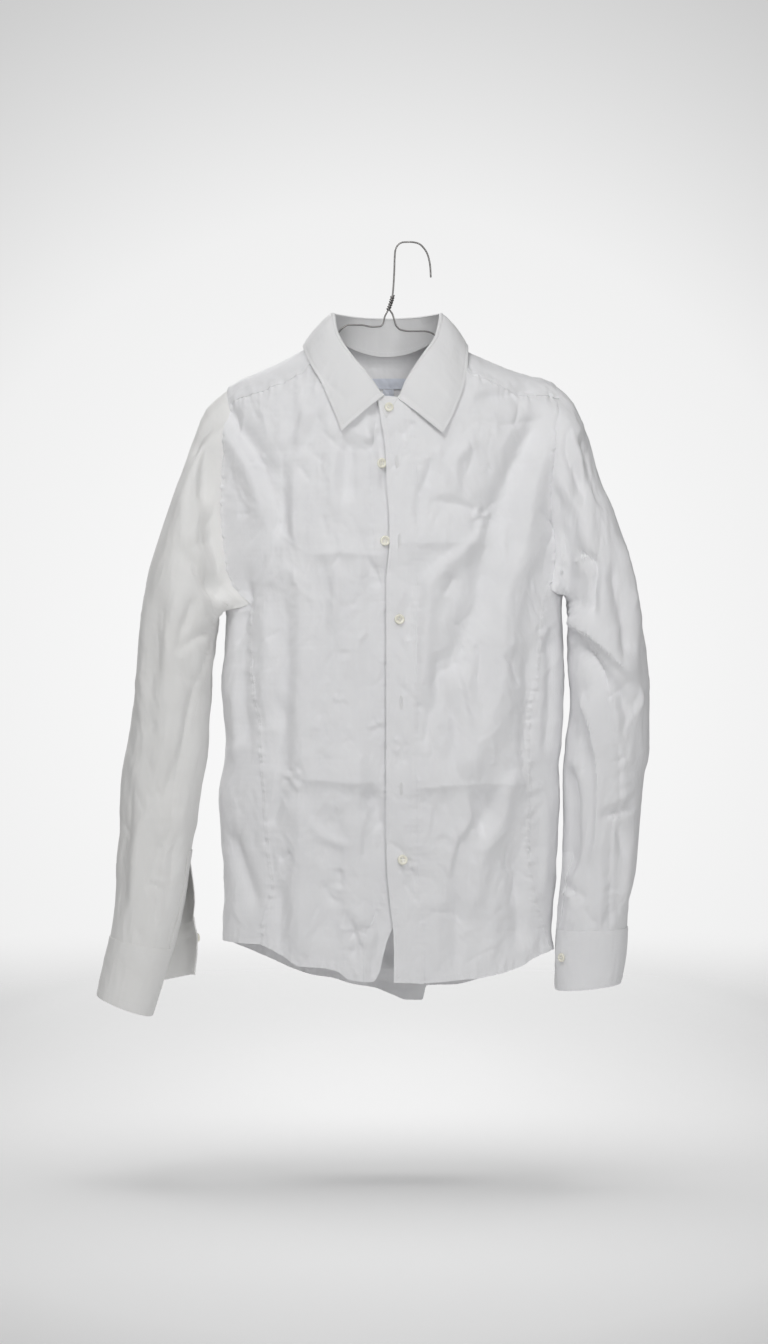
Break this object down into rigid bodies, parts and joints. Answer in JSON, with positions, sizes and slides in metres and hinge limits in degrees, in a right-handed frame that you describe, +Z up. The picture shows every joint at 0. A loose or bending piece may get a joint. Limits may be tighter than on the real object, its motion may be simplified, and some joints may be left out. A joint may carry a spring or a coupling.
{
  "type": "crumpled long-sleeved shirt on a wire hanger",
  "caption": "Slim long-sleeved buttoned shirt with a turned-down collar, hanging crumpled and open at the neck from a bent wire hanger, with one cuff buttoned and one cuff open.",
  "frame": {"origin": "inside top of the hanger's hook, where the rail holds it", "axes": "+Z up along the hang, -Y towards the buttoned front, +X to the right of someone looking at the front"},
  "size_m": [0.6288, 0.1485, 0.8866],
  "materials": {
    "cotton": "crumpled plain-woven cotton, matte",
    "pearl": "pearly cream polyester, glossy",
    "steel": "drawn wire, dull",
    "label": "plain woven tape, no text"
  },
  "bodies": {
    "root": {"back": "cotton", "button_2": "pearl", "button_3": "pearl", "button_4": "pearl", "button_5": "pearl", "button_6": "pearl", "button_7": "pearl", "button_stand": "cotton", "collar": "cotton", "collar_button": "pearl", "collar_stand": "cotton", "cuff_button_left": "pearl", "cuff_button_right": "pearl", "cuff_left": "cotton", "cuff_right": "cotton", "front_left": "cotton", "front_right": "cotton", "hanger_wire": "steel", "neck_label": "label", "placket": "cotton", "size_tab": "label", "sleeve_left": "cotton", "sleeve_placket_left": "cotton", "sleeve_placket_right": "cotton", "sleeve_right": "cotton", "yoke": "cotton"}
  },
  "joints": []
}
